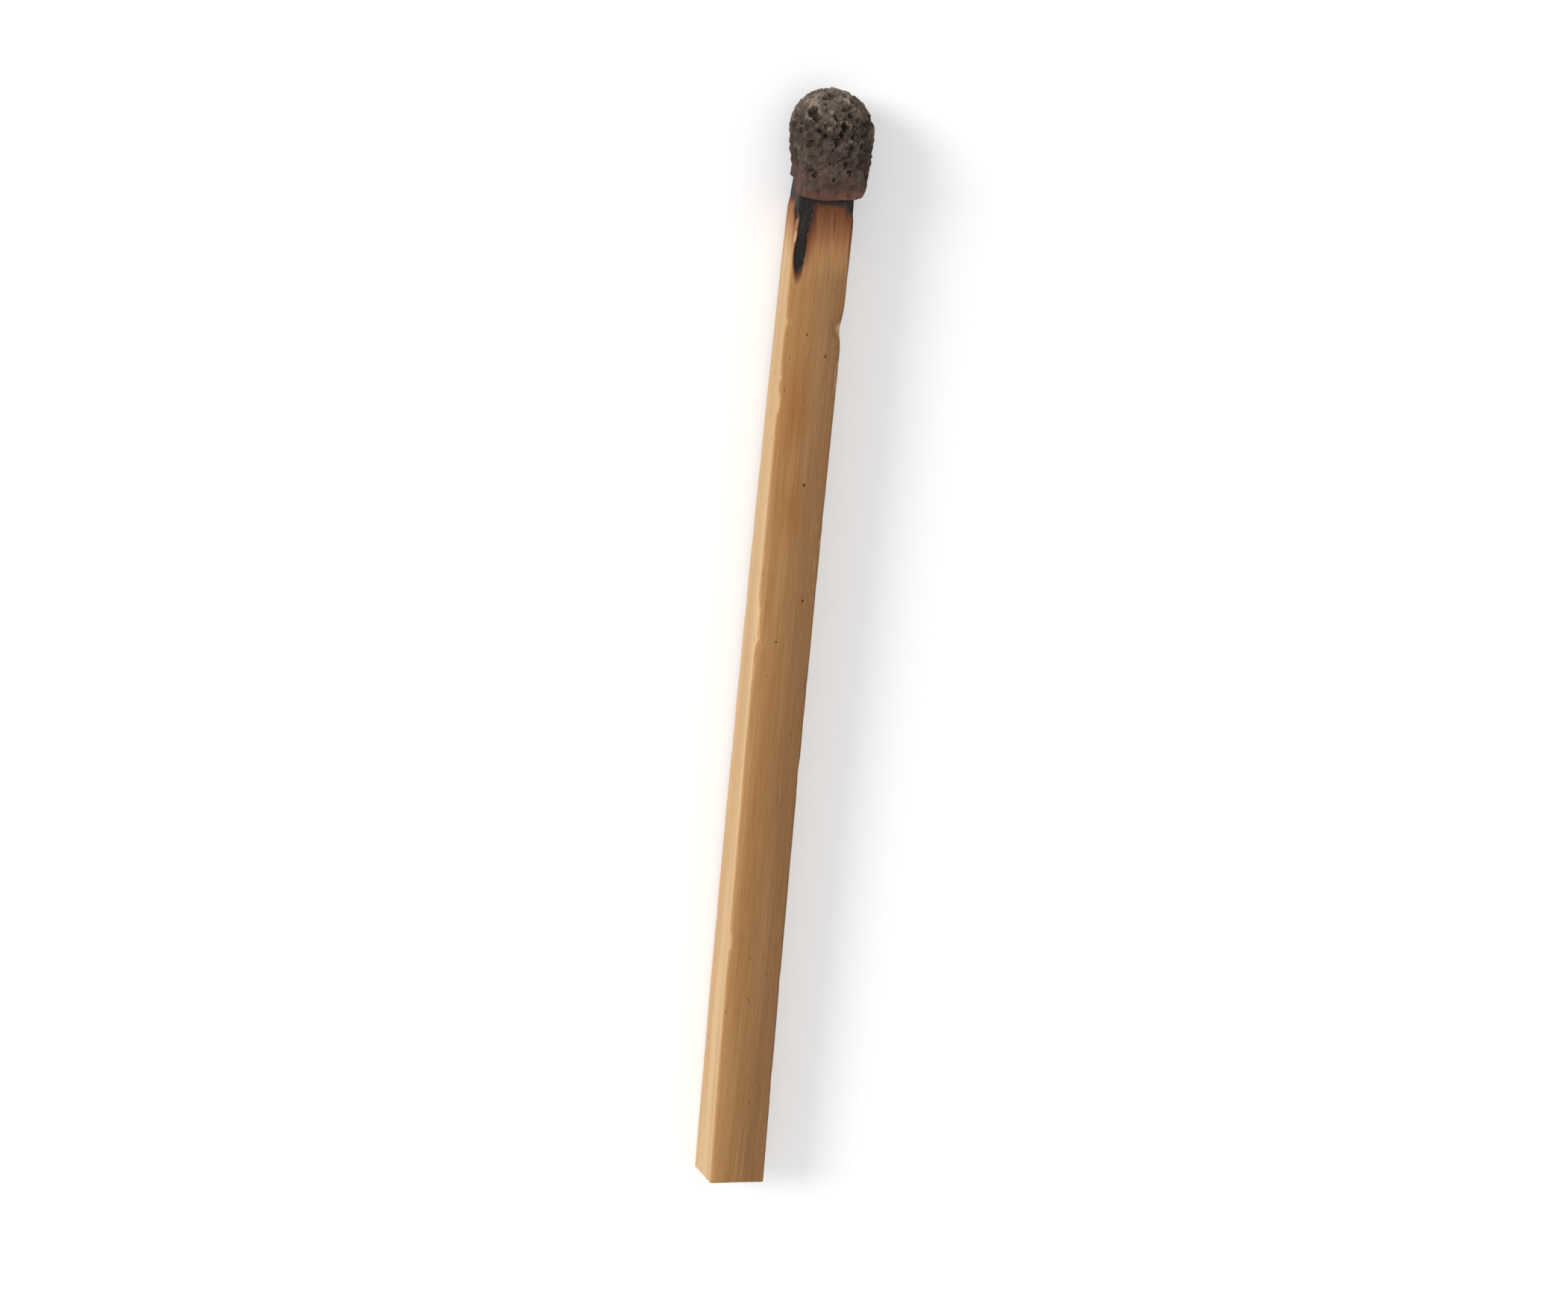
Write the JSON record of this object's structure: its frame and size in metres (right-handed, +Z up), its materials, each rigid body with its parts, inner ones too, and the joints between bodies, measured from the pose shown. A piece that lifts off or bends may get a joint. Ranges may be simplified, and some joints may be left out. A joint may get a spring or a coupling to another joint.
{
  "type": "burnt match",
  "caption": "Burnt wooden safety match: a square splint with a charred upper end and a spent, pitted grey head, lying on its side.",
  "frame": {"origin": "middle of the footprint, on the surface that the match lies on", "axes": "+X along the match towards its head, +Z up, +Y towards the side with the longer char beside it"},
  "size_m": [0.0442, 0.0034, 0.0031],
  "materials": {
    "splint": "dry sawn aspen, golden tan, toasted brown to charcoal black near the head",
    "spent_head": "matt grey-brown slag, full of burst bubbles"
  },
  "bodies": {
    "root": {"splint": "splint", "spent_head": "spent_head"}
  },
  "joints": []
}
